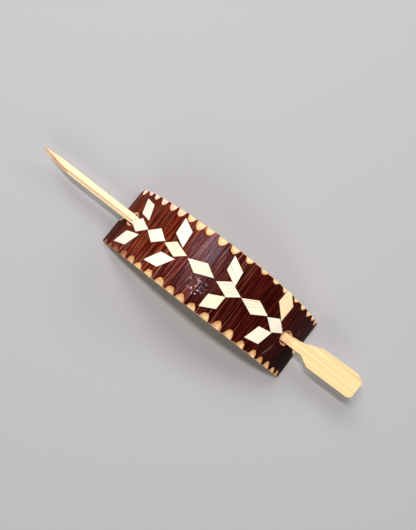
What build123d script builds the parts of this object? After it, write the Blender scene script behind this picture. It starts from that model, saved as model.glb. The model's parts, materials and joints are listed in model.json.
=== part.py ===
"""Bamboo hair barrette: an arched, stained plate with gouged edges and two
holes, fifteen thin diamond inlays glued on its skin, and a hand-carved stick
that slides through both holes to pin the hair against the plate.

Millimetres. +X runs along the plate towards the stick's paddle, +Y across it,
+Z up. The origin is on the table plane under the middle of the arch.
"""
import os
from math import cos, radians, sin

from build123d import *

# The plate is a slice of culm wall: its length follows the culm's ring.
culm_radius = 56.0
plate_thickness = 3.0
plate_width = 30.0
half_arc_angle = 61.5

# Gouge cuts along the long edges: all made with one gouge held at one slant.
gouge_radius = 2.2
gouge_slant = 36.0
gouge_length = 24.0

# (arc position, reach in from the edge) of each cut, set out by eye.
back_cuts = (
    (-60.4, 2.4), (-55.8, 3.1), (-49.5, 2.1), (-44.0, 2.5), (-38.0, 3.0), (-32.0, 3.2), (-27.0, 3.5),
    (-21.5, 3.0), (-16.5, 3.8), (-12.0, 3.2), (-5.5, 3.6), (0.5, 3.0), (7.5, 2.4), (15.0, 2.0),
    (21.5, 1.8), (27.5, 2.0), (35.0, 1.6), (41.0, 2.0), (47.0, 2.3), (52.5, 2.0), (57.5, 2.8),
)
front_cuts = (
    (-56.0, 2.4), (-50.0, 2.0), (-44.0, 2.4), (-38.0, 3.0), (-32.5, 3.0), (-27.5, 2.7), (-21.5, 2.9),
    (-15.5, 3.1), (-10.0, 2.9), (-5.0, 2.9), (0.5, 2.7), (7.0, 3.0), (13.0, 3.5), (19.0, 3.6),
    (26.0, 2.9), (33.5, 3.1), (39.0, 2.8), (44.5, 3.0), (50.5, 2.5), (56.0, 2.6),
)

# A long shallow scoop in the middle of each end: which end, its place across,
# how far in from the end it starts, and how steeply it leaves the skin.
end_cuts = ((-1, -0.8, 5.5), (1, -0.5, 6.5))
end_gouge_radius = 8.0
end_gouge_slant = 8.0

# Holes, drilled along the line of the stick: arc position and place across.
left_hole = (-48.5, 0.4)
right_hole = (44.4, 0.0)
hole_radius = 2.55
ring_length_radius = 4.4
ring_width_radius = 3.6
ring_depth = 1.0
ring_flare = 1.15
ring_rise = 0.3
bore_length = 22.0

# Diamond inlays: thin veneer on the skin. Each row gives the centre's arc
# position and place across, then the long and the short diagonal, each as a
# length and a direction in degrees from the arc's direction.
veneer = 0.35
cutter_reach = 3.0
middle_inlays = (
    (-41.1, -0.3, 12.4, 4, 6.6, 105),
    (-29.6, 0.0, 10.4, 3, 7.0, 91),
    (-18.6, 0.0, 11.3, 5, 6.3, 115),
    (-5.7, 0.0, 13.0, 0, 6.6, 70),
    (7.9, 0.1, 11.6, 5, 6.4, 106),
    (20.9, 1.1, 13.9, 5, 6.5, 93),
    (34.0, 0.9, 11.9, -4, 6.6, 92),
)
back_inlays = (
    (-43.1, 7.4, 13.1, -38, 6.5, 63),
    (-20.0, 7.4, 12.5, -56, 6.8, 37),
    (5.5, 7.2, 12.0, -53, 6.4, 29),
    (31.8, 10.3, 14.4, -63, 7.8, 17),
)
front_inlays = (
    (-43.2, -7.9, 14.0, 36, 7.4, 133),
    (-21.6, -7.1, 13.2, 34, 6.4, 114),
    (5.6, -7.5, 11.0, 56, 6.6, 155),
    (29.9, -6.5, 12.6, 41, 7.5, 130),
)

# The stick, in its own frame: u along it from midway between the holes, v
# across it, w up. Its line runs a little below the middle of both holes.
stick_drop = 0.25
shaft_half_width = 1.9
shaft_thickness = 2.4
paddle_thickness = 2.0
stick_outline = (
    (-90.9, 1.3), (-83.0, 2.0), (-81.0, shaft_half_width), (38.0, shaft_half_width),
    (42.4, 2.05), (46.4, 2.5), (49.0, 3.1), (55.8, 6.05), (73.9, 6.6), (76.9, 4.9),
    (76.6, -2.9), (74.9, -3.9), (54.6, -4.3), (50.0, -1.75),
    (38.0, -shaft_half_width), (-78.0, -shaft_half_width), (-81.6, -1.55), (-91.4, 0.2),
)
tip_end = -92.4
paddle_end = 77.9
tip_thickness = 0.9
tip_droop = 0.3
tip_length = 12.0
neck_start = 36.0
paddle_start = 54.0
paddle_step = 0.2
bevel_width = 1.1
bevel_drop = 0.6
bevel_end = 32.0
belly_start = -0.5
belly_depth = 1.4
belly_taper = 35.0
stick_clearance = 0.15
passing_middle = -45.0
passing_length = 60.0

inner_radius = culm_radius - plate_thickness
arc_centre_z = -inner_radius * cos(radians(half_arc_angle))
arc_centre = Vector(0, 0, arc_centre_z)
half_arc_length = culm_radius * radians(half_arc_angle)


def on_skin(arc, across):
    """Plane on the culm's skin: x along the arc, y across, z out of the skin."""
    angle = arc / culm_radius
    outwards = Vector(sin(angle), 0, cos(angle))
    along = Vector(cos(angle), 0, -sin(angle))
    return Plane(arc_centre + outwards * culm_radius + Vector(0, across, 0), x_dir=along, z_dir=outwards)


def arc_band(inner, outer):
    """The slice of a ring between two radii, over the plate's angle and width."""
    def rim(radius, side):
        angle = radians(half_arc_angle)
        return (side * radius * sin(angle), arc_centre_z + radius * cos(angle))

    outline = ThreePointArc(rim(outer, -1), (0, arc_centre_z + outer), rim(outer, 1))
    outline += Line(rim(outer, 1), rim(inner, 1))
    outline += ThreePointArc(rim(inner, 1), (0, arc_centre_z + inner), rim(inner, -1))
    outline += Line(rim(inner, -1), rim(outer, -1))
    return extrude(Plane.XZ * make_face(outline), plate_width / 2, both=True)


def gouge(start, outwards, radius, slant):
    """A round gouge's stroke: from its start on the skin, down and out through the side."""
    stroke = outwards * cos(radians(slant)) - start.z_dir * sin(radians(slant))
    lift = outwards * sin(radians(slant)) + start.z_dir * cos(radians(slant))
    return Plane(start.origin + lift * radius, z_dir=stroke) * Cylinder(radius, gouge_length)


def edge_gouges():
    """Every cut along the two long edges, and one in each end."""
    cuts = []
    for side, rows in ((1, back_cuts), (-1, front_cuts)):
        for arc, reach in rows:
            start = on_skin(arc, side * (plate_width / 2 - reach))
            cuts.append(gouge(start, Vector(0, side, 0), gouge_radius, gouge_slant))
    for side, across, reach in end_cuts:
        start = on_skin(side * (half_arc_length - reach), across)
        cuts.append(gouge(start, start.x_dir * side, end_gouge_radius, end_gouge_slant))
    return cuts


def stick_plane():
    """The stick's frame: through both holes' middles, dropped onto their floors."""
    left = on_skin(*left_hole).origin
    right = on_skin(*right_hole).origin
    middle = (left + right) / 2 - Vector(0, 0, stick_drop)
    along = (right - left).normalized()
    return Plane(middle, x_dir=along, z_dir=along.cross(Vector(0, 1, 0)))


def drilled_hole(place, line):
    """One hole along the stick's line, with a scraped ring round its mouth."""
    mouth = on_skin(*place)
    bore = Plane(mouth.origin, z_dir=line.x_dir) * Cylinder(hole_radius, bore_length)
    spread = ring_depth * ring_flare
    ring = loft([
        mouth.offset(ring_rise) * Ellipse(ring_length_radius + ring_rise, ring_width_radius + ring_rise),
        mouth.offset(-ring_depth) * Ellipse(ring_length_radius - spread, ring_width_radius - spread),
    ])
    return [bore, ring]


def inlay(row, line):
    """A diamond of veneer that follows the skin, trimmed at the plate's edge and where the stick passes."""
    arc, across, length, length_turn, width, width_turn = row
    corners = []
    for size, turn in ((length, length_turn), (width, width_turn)):
        corners.append(Vector(cos(radians(turn)), sin(radians(turn))) * (size / 2))
    outline = Polyline(*[(c.X, c.Y) for c in (corners[0], corners[1], -corners[0], -corners[1])], close=True)
    prism = extrude(on_skin(arc, across) * make_face(outline), cutter_reach, both=True)
    leaf = prism & arc_band(culm_radius, culm_radius + veneer)
    gap = 2 * stick_clearance
    passing = Box(passing_length, 2 * shaft_half_width + gap, shaft_thickness + gap)
    return leaf - line * Pos(passing_middle, 0, 0) * passing


def stick_body():
    """The carved stick in its own frame: plan outline cut to a side profile."""
    top = shaft_thickness / 2
    paddle_top = top - paddle_step
    outline = Pos(0, 0, belly_start) * make_face(Polyline(*stick_outline, close=True))
    plan = extrude(outline, shaft_thickness) + extrude(outline, -belly_depth, taper=belly_taper)
    side = make_face(Polyline(
        (tip_end, tip_thickness / 2 - tip_droop), (tip_end + tip_length, top), (neck_start, top),
        (paddle_start, paddle_top), (paddle_end, paddle_top), (paddle_end, paddle_top - paddle_thickness),
        (paddle_start, paddle_top - paddle_thickness), (neck_start, -top),
        (tip_end + tip_length, -top), (tip_end, -tip_thickness / 2 - tip_droop), close=True,
    ))
    body = plan & extrude(Plane.XZ * side, plate_width, both=True)
    low_corner = -shaft_half_width - 1
    high_corner = -shaft_half_width + bevel_width
    bevel = make_face(Polyline(
        (low_corner, top - bevel_drop * (1 + 1 / bevel_width)), (high_corner, top),
        (high_corner, top + 1), (low_corner, top + 1), close=True,
    ))
    facet = Pos(tip_end, 0, 0) * extrude(Plane.YZ * bevel, bevel_end - tip_end)
    return body - facet


def write(name, shape):
    """One STEP file per piece of the barrette."""
    shape.label = name
    export_step(shape, f"parts/{name}.step")


os.makedirs("parts", exist_ok=True)
line = stick_plane()
cuts = edge_gouges()
plate = arc_band(inner_radius, culm_radius) - cuts
for place in (left_hole, right_hole):
    plate -= drilled_hole(place, line)
write("arched_plate", plate)

for group, rows in (("middle", middle_inlays), ("back", back_inlays), ("front", front_inlays)):
    for number, row in enumerate(rows, 1):
        write(f"inlay_{group}_{number}", inlay(row, line))

write("hair_stick", line * stick_body())
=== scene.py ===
import json
import random
from math import atan2, cos, hypot, pi, radians, sin, sqrt

import bmesh
import bpy
from mathutils import Matrix, Vector, noise


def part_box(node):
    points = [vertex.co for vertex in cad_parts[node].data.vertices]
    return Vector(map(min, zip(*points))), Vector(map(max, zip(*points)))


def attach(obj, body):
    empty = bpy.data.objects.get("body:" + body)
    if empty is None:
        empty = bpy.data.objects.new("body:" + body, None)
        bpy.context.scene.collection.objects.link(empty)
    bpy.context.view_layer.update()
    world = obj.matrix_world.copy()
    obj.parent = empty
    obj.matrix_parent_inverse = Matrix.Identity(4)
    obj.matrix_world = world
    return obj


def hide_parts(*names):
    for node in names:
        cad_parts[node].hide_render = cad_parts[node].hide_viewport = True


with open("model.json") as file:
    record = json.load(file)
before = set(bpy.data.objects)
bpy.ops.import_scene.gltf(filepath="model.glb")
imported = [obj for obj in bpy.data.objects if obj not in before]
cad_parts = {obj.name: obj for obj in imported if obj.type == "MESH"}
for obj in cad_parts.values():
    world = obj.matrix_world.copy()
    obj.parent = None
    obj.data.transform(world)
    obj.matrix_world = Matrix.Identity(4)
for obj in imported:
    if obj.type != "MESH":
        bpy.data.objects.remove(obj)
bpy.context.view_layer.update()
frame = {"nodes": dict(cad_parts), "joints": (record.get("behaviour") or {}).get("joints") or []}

# Shapes are worked in millimetres and scaled to metres at the end.
MM = 0.001
WELD = 0.002
SEAM_WELD = 0.004
CUT_SNAP = 1e-4

# The plate is a slice of a ring whose centre line runs along Y at the height AXIS_Z.
SKIN_RADIUS = 56.0
WALL = 3.0
HALF_ANGLE = radians(61.5)
HALF_ARC = SKIN_RADIUS * HALF_ANGLE
plate_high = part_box("arched_plate")[1] / MM
AXIS_Z = plate_high.z - SKIN_RADIUS
HALF_WIDTH = plate_high.y
VENEER = 0.35

# The stick's own frame: u along it towards the paddle, v across it, w up.
ALONG = Vector(frame["joints"][0]["axis"]).normalized()
UP = ALONG.cross(Vector((0, 1, 0))).normalized()
ACROSS = UP.cross(ALONG)
STICK_MIDDLE = Vector((-1.384, 0.2, 12.2504))
STICK_FRAME = Matrix.Translation(STICK_MIDDLE) @ Matrix((ALONG, ACROSS, UP)).transposed().to_4x4()

# Bump relief, in metres.
PLATE_BUMP = 0.00003
STRAW_BUMP = 0.00003
STICK_BUMP = 0.00005


# ---------------------------------------------------------------- mesh tools

def working_copy(node):
    """A CAD node's mesh, welded and in millimetres."""
    mesh = bmesh.new()
    mesh.from_mesh(frame["nodes"][node].data)
    bmesh.ops.scale(mesh, vec=(1 / MM,) * 3, verts=mesh.verts)
    bmesh.ops.remove_doubles(mesh, verts=mesh.verts, dist=WELD)
    return mesh


def slice_mesh(mesh, levels, plane, measure):
    """Cuts the mesh at each of the sorted levels, halving it so that each cut sees few faces."""
    stack = [(list(mesh.faces), 0, len(levels))]
    while stack:
        faces, first, last = stack.pop()
        if first == last or not faces:
            continue
        middle = (first + last) // 2
        point, normal = plane(levels[middle])
        geometry = dict.fromkeys(faces)
        for face in faces:
            geometry.update(dict.fromkeys(face.verts))
            geometry.update(dict.fromkeys(face.edges))
        cut = bmesh.ops.bisect_plane(mesh, geom=list(geometry), dist=CUT_SNAP,
                                     plane_co=point, plane_no=normal)
        below, above = [], []
        for item in cut["geom"]:
            if isinstance(item, bmesh.types.BMFace):
                side = below if measure(item.calc_center_median()) < levels[middle] else above
                side.append(item)
        stack.append((below, first, middle))
        stack.append((above, middle + 1, last))


def steps(start, stop, shortest, longest, seed):
    """Sorted levels from start to just past stop, unevenly spaced as fibres are."""
    draw = random.Random(seed)
    levels = [start]
    while levels[-1] < stop:
        levels.append(levels[-1] + draw.uniform(shortest, longest))
    return levels


def eased(distance, radius):
    """How far a rounded edge falls away at a distance in from the edge."""
    return radius - sqrt(radius ** 2 - min(radius, max(0.0, radius - distance)) ** 2)


def smooth_step(low, high, value):
    """0 below low, 1 above high, and a smooth rise between."""
    share = min(1.0, max(0.0, (value - low) / (high - low)))
    return share * share * (3 - 2 * share)


def waves(*point):
    """Smooth noise from 0 to 1, the same each run."""
    return 0.5 + 0.5 * max(-1.0, min(1.0, 1.3 * noise.noise(Vector(point))))


def sharp_edges(mesh, turn, keep=lambda edge: True):
    """Edges between two faces that meet at more than so many degrees."""
    return [edge for edge in mesh.edges
            if len(edge.link_faces) == 2 and edge.calc_face_angle(0) > radians(turn) and keep(edge)]


def finished(mesh, name, body, node, material, grain, crease):
    """Turns a working mesh into a piece of the scene, with its grain coordinates stored on it."""
    bmesh.ops.remove_doubles(mesh, verts=mesh.verts, dist=SEAM_WELD)
    bmesh.ops.dissolve_degenerate(mesh, dist=WELD, edges=mesh.edges)
    bmesh.ops.recalc_face_normals(mesh, faces=mesh.faces)
    coordinates = [value for vertex in mesh.verts for value in grain(vertex.co)]
    bmesh.ops.scale(mesh, vec=(MM,) * 3, verts=mesh.verts)
    data = bpy.data.meshes.new(name)
    mesh.to_mesh(data)
    mesh.free()
    data.attributes.new("grain", "FLOAT_VECTOR", "POINT").data.foreach_set("vector", coordinates)
    data.shade_smooth()
    data.set_sharp_from_angle(angle=radians(crease))
    data.materials.append(material)
    piece = bpy.data.objects.new(name, data)
    bpy.context.scene.collection.objects.link(piece)
    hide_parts(node)
    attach(piece, body)
    return piece


# ------------------------------------------------------------ material tools

class Paint:
    """A material's node tree, with short calls for the nodes used here."""

    def __init__(self, name, **shader_values):
        self.material = bpy.data.materials.new(name)
        self.material.use_nodes = True
        self.tree = self.material.node_tree
        self.shader = self.tree.nodes["Principled BSDF"]
        for socket, value in shader_values.items():
            self.shader.inputs[socket.replace("_", " ")].default_value = value

    def node(self, kind, inputs, **settings):
        made = self.tree.nodes.new("ShaderNode" + kind)
        for key, value in settings.items():
            setattr(made, key, value)
        for key, value in inputs.items():
            self.feed(made.inputs[key], value)
        return made

    def feed(self, socket, value):
        if isinstance(value, bpy.types.NodeSocket):
            self.tree.links.new(value, socket)
        else:
            socket.default_value = value

    def grain(self):
        """The stored coordinates, as a vector and as its three parts."""
        vector = self.node("Attribute", {}, attribute_name="grain").outputs["Vector"]
        return vector, *self.node("SeparateXYZ", {0: vector}).outputs

    def noise(self, vector, factors, detail=3.0, roughness=0.55, low=0.25, high=0.75):
        """Noise stretched by the three factors, spread to run from 0 to 1 between low and high."""
        scaled = self.node("VectorMath", {0: vector, 1: factors}, operation="MULTIPLY").outputs[0]
        made = self.node("TexNoise", {"Vector": scaled, "Scale": 1.0,
                                      "Detail": detail, "Roughness": roughness})
        return self.span(made.outputs[0], low, high)

    def span(self, value, low, high, bottom=0.0, top=1.0):
        """Maps low..high smoothly to bottom..top, clamped."""
        return self.node("MapRange", {0: value, 1: low, 2: high, 3: bottom, 4: top},
                         interpolation_type="SMOOTHSTEP").outputs[0]

    def math(self, operation, first, second=0.0):
        return self.node("Math", {0: first, 1: second}, operation=operation).outputs[0]

    def times(self, first, second):
        return self.math("MULTIPLY", first, second)

    def plus(self, first, second):
        return self.math("ADD", first, second)

    def minus(self, first, second):
        return self.math("SUBTRACT", first, second)

    def larger(self, first, second):
        return self.math("MAXIMUM", first, second)

    def mix(self, share, first, second):
        """The first colour at share 0 and the second at share 1."""
        colours = {}
        for index, colour in ((6, first), (7, second)):
            colours[index] = colour if isinstance(colour, bpy.types.NodeSocket) else (*colour, 1.0)
        return self.node("Mix", {0: share, **colours}, data_type="RGBA").outputs[2]

    def distance(self, first, second, centre):
        """Distance from a centre."""
        one = self.minus(first, centre[0])
        two = self.minus(second, centre[1])
        return self.math("SQRT", self.plus(self.times(one, one), self.times(two, two)))

    def near(self, first, second, centre, radii):
        """1 at a centre, falling to 0 at an ellipse round it."""
        one = self.math("DIVIDE", self.minus(first, centre[0]), radii[0])
        two = self.math("DIVIDE", self.minus(second, centre[1]), radii[1])
        return self.span(self.plus(self.times(one, one), self.times(two, two)), 1.0, 0.1)

    def finish(self, colour, roughness, height, relief):
        """Sends a colour, a roughness and a bump of so many metres to the shader."""
        bump = self.node("Bump", {"Height": height, "Distance": relief, "Strength": 1.0})
        self.feed(self.shader.inputs["Base Color"], colour)
        self.feed(self.shader.inputs["Roughness"], roughness)
        self.feed(self.shader.inputs["Normal"], bump.outputs[0])
        return self.material


# Places on the plate are millimetres of arc from the crown towards the paddle, and across towards the back.

def plate_stain(paint, vector, across, arc, fine, patches):
    """The stained skin: red to the left, nearly black at the right end, streaked along its fibre."""
    strands = paint.noise(vector, (0.03, 0.60, 0.60), detail=2.0, low=0.34, high=0.64)
    threads = paint.noise(vector, (0.035, 2.1, 2.1), detail=1.5, low=0.56, high=0.68)
    hairs = paint.noise(vector, (0.05, 2.6, 2.6), detail=1.0, low=0.36, high=0.62)
    dark_strand = (0.016, 0.0014, 0.0012)
    pale_thread = (0.50, 0.190, 0.110)
    red_hair = (0.045, 0.0030, 0.0015)
    near_black = (0.003, 0.0004, 0.0004)
    dull_patch = (0.020, 0.0020, 0.0016)

    redness = paint.span(arc, 8.0, -34.0)
    dark = paint.mix(fine, (0.012, 0.0008, 0.0006), (0.090, 0.0090, 0.0046))
    red = paint.mix(fine, (0.050, 0.0032, 0.0015), (0.420, 0.0560, 0.0190))
    skin = paint.mix(redness, dark, red)
    skin = paint.mix(paint.times(strands, 0.72), skin, dark_strand)
    lit = paint.times(threads, paint.span(arc, 20.0, 2.0, 0.04, 0.75))
    skin = paint.mix(lit, skin, pale_thread)
    skin = paint.mix(paint.times(hairs, 0.55), skin, paint.mix(redness, dark, red_hair))
    # Nearly black towards the right end and at the front-left corner, most on the front side.
    right_end = paint.times(paint.span(arc, 34.0, 52.0), paint.span(across, 2.0, -8.0, 0.3, 0.85))
    left_corner = paint.times(paint.span(arc, -46.0, -54.0), paint.span(across, 2.0, -4.0, 0.0, 0.5))
    skin = paint.mix(paint.larger(right_end, left_corner), skin, near_black)
    return paint.mix(paint.times(patches, 0.30), skin, dull_patch)


def plate_scuffs_and_glints(paint, vector, across, arc):
    """Where the varnish is scraped white, with painted glints on it: a speckled patch near the middle and
    two curved scratches.
    """
    speckle = paint.noise(vector, (0.62, 0.85, 0.85), detail=3.0, roughness=0.65, low=0.535, high=0.63)
    scuffs_and_glints = paint.times(paint.near(arc, across, (-2.8, -6.4), (5.4, 4.6)), 0.6)
    for centre, radii in (((-4.6, -7.2), (2.6, 2.0)), ((-1.9, -9.3), (1.8, 1.3))):
        scuffs_and_glints = paint.larger(scuffs_and_glints, paint.near(arc, across, centre, radii))
    scuffs_and_glints = paint.times(scuffs_and_glints, speckle)
    # Each scratch, pale with a painted glint along it: its circle's centre and radius, then the middle and
    # the reach of the part that shows.
    for centre, radius, shown, reach in (
        ((31.0, -5.5), 8.6, (39.0, -8.6), 3.6),
        ((44.0, 4.5), 6.2, (50.2, 5.2), 1.7),
    ):
        off_line = paint.math("ABSOLUTE", paint.minus(paint.distance(arc, across, centre), radius))
        scratch_and_glint = paint.span(off_line, 0.26, 0.05)
        scratch_and_glint = paint.times(scratch_and_glint, paint.near(arc, across, shown, (reach, reach)))
        scuffs_and_glints = paint.larger(scuffs_and_glints, paint.times(scratch_and_glint, 0.3))
    return scuffs_and_glints


def plate_wood(paint, vector, across, arc, depth, fine, patches):
    """The bare wood under the skin, as the gouges, holes and end scoops show it, with painted shade in the
    front cuts towards the left and in the bores.
    """
    mottle = (0.66, 0.31, 0.10)
    front_left_cut_shade = (0.22, 0.050, 0.018)
    pale_wood = (0.92, 0.685, 0.42)
    hole_shadow = (0.16, 0.050, 0.022)
    pinkish_pale_wood = (0.87, 0.60, 0.485)
    at_front = paint.span(across, -9.0, -11.0)
    at_back = paint.span(across, 9.0, 11.0)

    under_skin = paint.mix(fine, (0.50, 0.190, 0.050), (0.80, 0.40, 0.145))
    deeper = paint.mix(fine, (0.86, 0.53, 0.25), (0.96, 0.70, 0.39))
    blotched = paint.plus(depth, paint.times(patches, 0.6))
    wood = paint.mix(paint.span(blotched, 0.45, 1.6), under_skin, deeper)
    mottled = paint.noise(vector, (0.8, 0.9, 0.9), detail=3.0, low=0.48, high=0.66)
    front = paint.span(across, -9.0, -10.5, 0.0, 0.45)
    back = paint.times(paint.span(across, 9.0, 10.5, 0.0, 0.5), paint.span(arc, 22.0, 2.0))
    wood = paint.mix(paint.times(mottled, paint.larger(front, back)), wood, mottle)
    # Painted shade: the front cuts towards the left end are darkened, least where they cut deepest.
    front_left_shade = paint.times(paint.span(arc, -28.0, -42.0), at_front)
    front_left_shade = paint.times(front_left_shade, paint.span(depth, 2.6, 1.4, 0.0, 0.8))
    wood = paint.mix(front_left_shade, wood, front_left_cut_shade)
    pale = paint.times(at_back, paint.span(depth, 0.5, 1.3, 0.1, 1.0))
    pale = paint.times(pale, paint.span(arc, -10.0, 30.0, 0.35, 0.75))
    wood = paint.mix(pale, wood, pale_wood)
    for hole in ((-48.5, 0.4), (44.4, 0.0)):
        ringed = paint.near(arc, across, hole, (7.0, 5.6))
        wood = paint.mix(ringed, wood, paint.mix(fine, (0.78, 0.40, 0.19), (0.92, 0.58, 0.34)))
        bored = paint.times(ringed, paint.span(depth, 0.65, 0.92))
        wood = paint.mix(bored, wood, hole_shadow)
    # The back cuts turn pinkish pale towards the left end, less where they cut deepest.
    pinkish_left_back = paint.times(paint.span(arc, -12.0, -48.0), at_back)
    pinkish_left_back = paint.times(pinkish_left_back, paint.span(depth, 2.8, 1.6, 0.0, 0.8))
    wood = paint.mix(pinkish_left_back, wood, pinkish_pale_wood)
    for scoop, tone in (((-61.0, -1.4), (0.99, 0.80, 0.60)), ((58.0, -1.6), (0.99, 0.66, 0.38))):
        scooped = paint.times(paint.near(arc, across, scoop, (6.0, 5.0)), 0.9)
        wood = paint.mix(scooped, wood, tone)
    return wood


def plate_material():
    """Stained, varnished culm skin over paler wood that shows wherever a tool has cut."""
    paint = Paint("stained_bamboo", Specular_IOR_Level=0.05, Specular_Tint=(1.0, 0.80, 0.95, 1))
    vector, across, arc, depth = paint.grain()
    fine = paint.noise(vector, (0.05, 1.25, 1.25), detail=2.5, roughness=0.7, low=0.38, high=0.62)
    patches = paint.noise(vector, (0.08, 0.11, 0.11), detail=2.0)
    # The scuffs' colour: pale scraped varnish, brightened further as painted glints.
    scuff_and_glint_colour = (0.60, 0.48, 0.53)

    scuffs_and_glints = plate_scuffs_and_glints(paint, vector, across, arc)
    skin = paint.mix(scuffs_and_glints, plate_stain(paint, vector, across, arc, fine, patches), scuff_and_glint_colour)
    wood = plate_wood(paint, vector, across, arc, depth, fine, patches)
    ragged = paint.plus(depth, paint.times(paint.minus(fine, 0.5), 0.14))
    rim = paint.plus(paint.math("ABSOLUTE", across), paint.times(fine, 0.25))
    worn_rim = paint.span(rim, HALF_WIDTH - 0.35, HALF_WIDTH - 0.05)
    bare = paint.larger(paint.span(ragged, 0.10, 0.24), worn_rim)
    colour = paint.mix(bare, skin, wood)

    polish = paint.span(paint.math("ABSOLUTE", arc), 26.0, 46.0, 0.16, 0.50)
    polish = paint.plus(polish, paint.times(fine, 0.09))
    polish = paint.plus(polish, paint.times(scuffs_and_glints, 0.3))
    return paint.finish(colour, paint.plus(polish, paint.times(bare, 0.35)), fine, PLATE_BUMP)


def straw_material(name, light, shade, stripe, strength, pitch):
    """Split straw: nearly white, with fine lines along its fibre at a pitch in millimetres, and painted
    shade along the foot of its edges.
    """
    paint = Paint(name, Specular_IOR_Level=0.35)
    vector, _, across, height = paint.grain()
    fine = paint.noise(vector, (0.10, 1.9, 0.5), detail=3.0, roughness=0.7)
    sway = paint.noise(vector, (0.05, 0.35, 0.3), detail=1.0)
    fading = paint.noise(vector, (0.07, 0.5, 0.3), detail=1.0, low=0.3, high=0.55)
    cloud = paint.noise(vector, (0.16, 0.30, 0.3), detail=2.0)
    edge_foot_shade = (0.26, 0.15, 0.075)

    wave = paint.plus(paint.times(across, 2 * pi / pitch), paint.times(sway, 5.0))
    lines = paint.times(paint.span(paint.math("SINE", wave), -0.05, 0.75), fading)
    colour = paint.mix(paint.times(fine, 0.7), light, shade)
    colour = paint.mix(paint.times(lines, strength), colour, stripe)
    colour = paint.mix(paint.times(cloud, 0.25), colour, shade)
    # Painted shade along the foot of the leaf's edge, where it meets the skin.
    edge = paint.span(height, VENEER * 0.55, VENEER * 0.1)
    colour = paint.mix(paint.times(edge, 0.75), colour, edge_foot_shade)
    return paint.finish(colour, paint.plus(0.38, paint.times(fine, 0.15)), fine, STRAW_BUMP)


def stick_material():
    """Split bamboo: pale along the shaft, warmer and streaked on the paddle, with painted shade on its front
    side and where it leaves the right hole.
    """
    paint = Paint("split_bamboo", Specular_IOR_Level=0.35)
    vector, along, across, _ = paint.grain()
    fine = paint.noise(vector, (0.035, 1.5, 1.5), detail=4.0, roughness=0.75, low=0.3, high=0.7)
    streaks = paint.noise(vector, (0.014, 0.85, 0.85), detail=2.0, low=0.40, high=0.62)
    grooves = paint.noise(vector, (0.012, 2.7, 2.7), detail=2.0, low=0.50, high=0.64)
    tan_tip = (0.80, 0.60, 0.34)
    warm_streak = (0.88, 0.58, 0.26)
    brown_groove = (0.66, 0.34, 0.13)
    salmon = (0.85, 0.42, 0.24)

    shaft = paint.mix(fine, (0.90, 0.78, 0.49), (0.85, 0.68, 0.38))
    shaft = paint.mix(paint.span(along, -76.0, -86.0, 0.0, 0.7), shaft, tan_tip)
    paddle = paint.mix(fine, (0.93, 0.72, 0.38), (0.86, 0.58, 0.28))
    paddle = paint.mix(paint.times(streaks, 0.5), paddle, warm_streak)
    paddle = paint.mix(paint.times(grooves, 0.6), paddle, brown_groove)
    colour = paint.mix(paint.span(along, 30.0, 40.0), shaft, paddle)
    # Painted shadow of the right hole's rim, across the stick where it comes out of the hole.
    rim_shadow = paint.times(paint.span(along, 46.0, 42.0), paint.span(along, 38.0, 40.0, 0.0, 0.7))
    colour = paint.mix(rim_shadow, colour, paint.mix(fine, (0.78, 0.48, 0.26), (0.48, 0.22, 0.09)))

    # The salmon line along the shaft's top, near its front edge.
    wander = paint.plus(across, paint.times(paint.noise(vector, (0.03, 0, 0)), 0.25))
    line = paint.times(paint.span(wander, -0.85, -0.60), paint.span(wander, -0.22, -0.45))
    line = paint.times(line, paint.span(along, 36.0, 28.0))
    colour = paint.mix(line, colour, salmon)

    # The front side is darker, as painted shade, turning a darker orange-brown on the tip's facet; the back
    # side is greyer.
    facing = paint.node("VectorMath", {0: paint.node("TexCoord", {}).outputs["Normal"], 1: ACROSS},
                        operation="DOT_PRODUCT").outputs["Value"]
    front = paint.times(paint.span(facing, -0.35, -0.8), 0.85)
    side = paint.mix(fine, (0.62, 0.32, 0.12), (0.42, 0.18, 0.06))
    facet = paint.mix(fine, (0.88, 0.50, 0.27), (0.74, 0.33, 0.15))
    colour = paint.mix(front, colour, paint.mix(paint.span(along, -76.0, -81.0), side, facet))
    back = paint.times(paint.span(facing, 0.3, 0.6), 0.9)
    colour = paint.mix(back, colour, paint.mix(fine, (0.84, 0.74, 0.54), (0.50, 0.42, 0.28)))
    return paint.finish(colour, paint.plus(0.42, paint.times(fine, 0.18)), fine, STICK_BUMP)


# -------------------------------------------------------------------- plate

def arc_of(point):
    return SKIN_RADIUS * atan2(point.x, point.z - AXIS_Z)


def depth_of(point):
    return SKIN_RADIUS - hypot(point.x, point.z - AXIS_Z)


def on_arc(arc, across, depth):
    angle = arc / SKIN_RADIUS
    radius = SKIN_RADIUS - depth
    return Vector((radius * sin(angle), across, AXIS_Z + radius * cos(angle)))


def plate_plane(arc):
    """The plane across the plate at an arc position: a point and a normal."""
    angle = arc / SKIN_RADIUS
    return (0, 0, AXIS_Z), (cos(angle), 0, -sin(angle))


def off_stick_line(point):
    offset = point - STICK_MIDDLE
    return (offset - ALONG * offset.dot(ALONG)).length


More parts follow.
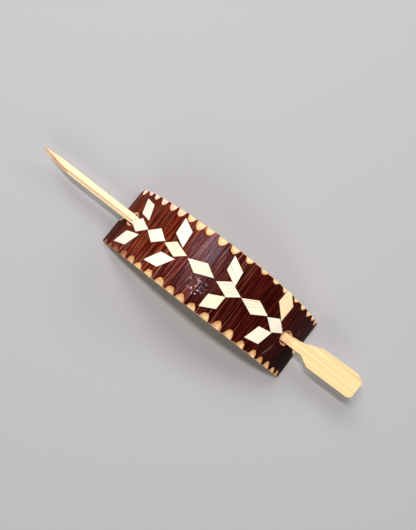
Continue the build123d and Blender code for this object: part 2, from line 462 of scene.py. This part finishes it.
def worked_plate_point(point):
    """Where a point of the cut plate goes: true to the circle, edges eased, fibres standing out."""
    snap, near_inside = 0.06, 0.3
    arc, across, depth = arc_of(point), point.y, depth_of(point)
    to_side = HALF_WIDTH - abs(across)
    to_end = HALF_ARC - abs(arc)
    if abs(depth) < snap:
        depth = 0.0
    if abs(depth - WALL) < snap:
        depth = WALL
    strands = waves(arc * 1.7, across * 0.04, 2.0)
    ribs = waves(arc * 0.45, across * 0.03, 5.0)
    relief = 0.035 * strands + 0.05 * ribs * ribs
    # The bores stay smooth, so the stick runs clear.
    away = smooth_step(2.6, 3.4, off_stick_line(point))
    side = 1 if across > 0 else -1
    if depth < WALL - near_inside:
        depth = max(depth + relief * away, eased(to_side, 0.45), eased(to_end, 0.35))
    if depth > 1.0:
        depth = min(depth, WALL - eased(to_side, 0.2), WALL - eased(to_end, 0.2))
    if depth > WALL - near_inside:
        depth -= relief * away * 0.6
    across *= 0.9995 - 0.006 * waves(arc * 0.11, side * 7.0, 1.0) - 0.002 * waves(arc * 0.6, side * 3.0, 4.0)
    return on_arc(arc, across, depth)


def plate_grain(point):
    return point.y, arc_of(point), depth_of(point)


def make_plate(material):
    mesh = working_copy("arched_plate")
    slice_mesh(mesh, steps(-HALF_ARC + 0.05, HALF_ARC - 0.1, 0.18, 0.34, seed=11), plate_plane, arc_of)
    # Close rows at the eased long edges, wide ones between.
    rows = [HALF_WIDTH - inset for inset in (0.06, 0.16, 0.3, 0.45)]
    rows += [1.9 * n for n in range(1, 8)]
    rows = sorted(rows + [0.0] + [-row for row in rows])
    slice_mesh(mesh, rows, lambda row: ((0, row, 0), (0, 1, 0)), lambda point: point.y)
    for vertex in mesh.verts:
        vertex.co = worked_plate_point(vertex.co)
    finished(mesh, "plate", "arch", "arched_plate", material, plate_grain, crease=28)


# -------------------------------------------------------------------- inlays

def make_inlay(node, turn, material):
    """A leaf of straw on the skin, its fibre turned that many degrees from the arc's direction."""
    low, high = (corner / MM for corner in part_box(node))
    centre = (low + high) / 2
    angle = arc_of(centre) / SKIN_RADIUS
    tangent = Vector((cos(angle), 0, -sin(angle)))
    fibre = tangent * cos(radians(turn)) + Vector((0, 1, 0)) * sin(radians(turn))
    across = Vector((0, 1, 0)) * cos(radians(turn)) - tangent * sin(radians(turn))
    seed = sum(ord(letter) * place for place, letter in enumerate(node, 1)) % 97
    reach = 9.0

    mesh = working_copy(node)
    rim = sharp_edges(mesh, 40, lambda e: all(depth_of(v.co) < -VENEER * 0.8 for v in e.verts))
    bmesh.ops.bevel(mesh, geom=rim, offset=0.09, segments=2, profile=0.5, affect="EDGES",
                    clamp_overlap=True)
    # Cuts lie close together across the fibre and far apart along it.
    for direction, gap in ((across, 0.32), (fibre, 1.6)):
        slice_mesh(mesh, steps(-reach, reach, gap * 0.7, gap * 1.3, seed),
                   lambda level: (centre + direction * level, direction),
                   lambda point: (point - centre).dot(direction))
    for vertex in mesh.verts:
        point = vertex.co
        depth = depth_of(point)
        if depth < -VENEER * 0.5:
            offset = point - centre
            relief = 0.03 * waves(offset.dot(across) * 2.2, offset.dot(fibre) * 0.08, seed)
            vertex.co = on_arc(arc_of(point), point.y, min(0.0, depth + relief))

    def grain(point):
        offset = point - centre
        return offset.dot(fibre) + seed, offset.dot(across) + seed * 2, -depth_of(point)

    finished(mesh, "leaf" + node.removeprefix("inlay"), "arch", node, material, grain,
             crease=32)


# --------------------------------------------------------------------- stick

def make_stick(material):
    mesh = working_copy("hair_stick")
    bmesh.ops.transform(mesh, matrix=STICK_FRAME.inverted(), verts=mesh.verts)
    bmesh.ops.dissolve_limit(mesh, angle_limit=radians(0.6), verts=mesh.verts, edges=mesh.edges)

    # One knife cut takes off the upper front corner of the tip.
    tip = Vector((-91.4, 1.1, 0.15))
    shoulder = Vector((-80.0, -0.5, 1.2))
    facet = (shoulder - tip).cross(Vector((0, -1, -1.1)))
    cut = bmesh.ops.bisect_plane(mesh, geom=mesh.verts[:] + mesh.edges[:] + mesh.faces[:], dist=CUT_SNAP,
                                 plane_co=tip, plane_no=facet if facet.z > 0 else -facet, clear_outer=True)
    bmesh.ops.contextual_create(mesh, geom=[e for e in cut["geom_cut"] if isinstance(e, bmesh.types.BMEdge)])

    def paddle_back_rim(edge):
        return all(v.co.z > 0.6 and v.co.y > 2.0 and v.co.x > 41 for v in edge.verts)

    bmesh.ops.bevel(mesh, geom=sharp_edges(mesh, 40, paddle_back_rim), offset=0.75, segments=1,
                    affect="EDGES", clamp_overlap=True)
    bmesh.ops.bevel(mesh, geom=sharp_edges(mesh, 22), offset=0.16, segments=2, profile=0.5,
                    affect="EDGES", clamp_overlap=True)
    for axis, levels in (
        (0, steps(-92.0, 78.0, 1.4, 2.6, seed=5)),
        (1, steps(-5.0, 7.0, 0.2, 0.4, seed=6)),
        (2, steps(-2.0, 2.0, 0.35, 0.6, seed=7)),
    ):
        direction = Vector([float(n == axis) for n in range(3)])
        slice_mesh(mesh, levels, lambda level: (direction * level, direction), lambda point: point[axis])
    mesh.normal_update()
    shortening = 0.9985  # keeps both ends inside the CAD box
    for vertex in mesh.verts:
        u, v, w = vertex.co
        knife = 0.09 * waves(u * 0.11, v * 0.3, w * 0.3 + 8.0)
        strands = 0.03 * waves(u * 0.03, v * 2.3, w * 2.3)
        vertex.co -= vertex.normal * (knife + strands)
        vertex.co.x *= shortening
    bmesh.ops.transform(mesh, matrix=STICK_FRAME, verts=mesh.verts)
    inverse = STICK_FRAME.inverted()
    finished(mesh, "carved_stick", "stick", "hair_stick", material,
             lambda point: inverse @ point, crease=24)


# ----------------------------------------------------------- studio and view

def make_floor():
    size = 1.6
    data = bpy.data.meshes.new("floor")
    corners = [(x * size, y * size, 0) for x, y in ((-1, -1), (1, -1), (1, 1), (-1, 1))]
    data.from_pydata(corners, [], [(0, 1, 2, 3)])
    floor = bpy.data.objects.new("floor", data)
    bpy.context.scene.collection.objects.link(floor)
    paint = Paint("pale_floor", Base_Color=(0.40, 0.40, 0.395, 1), Roughness=0.85)
    data.materials.append(paint.material)


def make_light(name, place, width, depth, watts, colour):
    """A soft rectangle that faces the middle of the scene, its width along X."""
    data = bpy.data.lights.new(name, "AREA")
    data.shape = "RECTANGLE"
    data.size, data.size_y, data.energy, data.color = width, depth, watts, colour
    light = bpy.data.objects.new(name, data)
    back = Vector(place).normalized()
    right = (Vector((1, 0, 0)) - back * back.x).normalized()
    facing = Matrix((right, back.cross(right), back)).transposed().to_4x4()
    light.matrix_world = Matrix.Translation(place) @ facing
    bpy.context.scene.collection.objects.link(light)


def make_world():
    world = bpy.data.worlds.new("studio")
    world.use_nodes = True
    background = world.node_tree.nodes["Background"]
    background.inputs["Color"].default_value = (0.95, 0.97, 1.0, 1)
    background.inputs["Strength"].default_value = 0.06
    bpy.context.scene.world = world


def make_camera():
    """The photo's view, as fitted to the plate's outline."""
    place = (0.00196, -0.01519, 0.21935)
    right = Vector((0.7900923, 0.6121567, 0.0319121))
    up = Vector((-0.6121174, 0.7851269, 0.0942764))
    facing = Matrix((right, up, right.cross(up))).transposed().to_4x4()
    data = bpy.data.cameras.new("camera")
    data.sensor_width = 36.0
    data.lens = 33.28
    data.clip_start = 0.005
    camera = bpy.data.objects.new("camera", data)
    camera.matrix_world = Matrix.Translation(place) @ facing
    bpy.context.scene.collection.objects.link(camera)
    bpy.context.scene.camera = camera


make_plate(plate_material())

# Name, lighter tone, darker tone, stripe's tone, stripe's strength, stripe's pitch.
plain = straw_material(
    "pale_straw", (0.92, 0.88, 0.73), (0.89, 0.81, 0.61), (0.93, 0.78, 0.54), 0.35, 1.9)
cream = straw_material(
    "cream_straw", (0.87, 0.80, 0.58), (0.84, 0.72, 0.46), (0.88, 0.60, 0.34), 0.5, 1.7)
striped = straw_material(
    "striped_straw", (0.95, 0.90, 0.70), (0.92, 0.82, 0.57), (0.84, 0.47, 0.28), 0.95, 1.25)
warm = straw_material(
    "warm_straw", (0.94, 0.80, 0.50), (0.90, 0.72, 0.38), (0.88, 0.56, 0.30), 0.55, 1.1)
for node, turn, material in (
    ("inlay_middle_1", 10, plain), ("inlay_middle_2", 90, plain), ("inlay_middle_3", -20, cream),
    ("inlay_middle_4", 35, cream), ("inlay_middle_5", 35, striped), ("inlay_middle_6", 28, striped),
    ("inlay_middle_7", 30, plain), ("inlay_back_1", -40, plain), ("inlay_back_2", -35, plain),
    ("inlay_back_3", -27, striped), ("inlay_back_4", 85, warm), ("inlay_front_1", 36, plain),
    ("inlay_front_2", 11, plain), ("inlay_front_3", 50, cream), ("inlay_front_4", 65, plain),
):
    make_inlay(node, turn, material)

make_stick(stick_material())
make_floor()
make_light("key", (-0.48, 0.52, 0.80), 0.7, 0.4, 6.0, (1.0, 1.0, 1.0))
make_light("sheen", (-0.28, 0.115, 0.85), 0.28, 0.07, 5.4, (1.0, 0.94, 1.0))
make_light("fill", (0.6, -0.8, 0.8), 0.8, 0.5, 5.4, (1.0, 0.99, 0.96))
make_light("back", (0.7, 0.8, 0.7), 0.8, 0.4, 5.0, (1.0, 0.99, 0.96))
make_world()
make_camera()
bpy.context.scene.view_settings.view_transform = "Standard"
